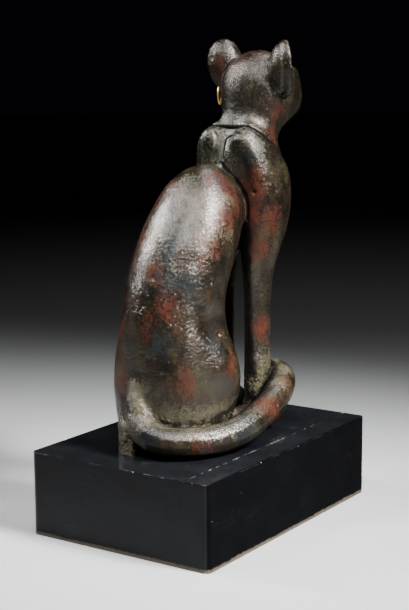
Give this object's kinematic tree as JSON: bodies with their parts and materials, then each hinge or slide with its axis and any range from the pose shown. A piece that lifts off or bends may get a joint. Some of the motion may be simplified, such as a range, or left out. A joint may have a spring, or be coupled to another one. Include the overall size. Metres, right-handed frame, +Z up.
{
  "type": "bastet cat figure",
  "caption": "Seated bronze cat in the ancient Egyptian manner, upright on straight forelegs with its tail curled round its side and a gold hoop in its left ear, on a black block plinth.",
  "frame": {"origin": "middle of the plinth's underside", "axes": "+Z up; the cat looks towards -Y, turned 7 degrees to its own right, so +X is its left side"},
  "size_m": [0.09, 0.13, 0.2079],
  "materials": {
    "bronze": "cast bronze, dark brown and half polished by handling, with brick-red, bluish grey and pale green patches of patina and a greyish yellow deposit in the hollows",
    "gold": "worn yellow gold wire",
    "black_wood": "black lacquered wood, half gloss, with pale scuffed edges and one scribed line along the top"
  },
  "bodies": {
    "root": {"cat": "bronze", "earring": "gold", "plinth": "black_wood"}
  },
  "joints": []
}
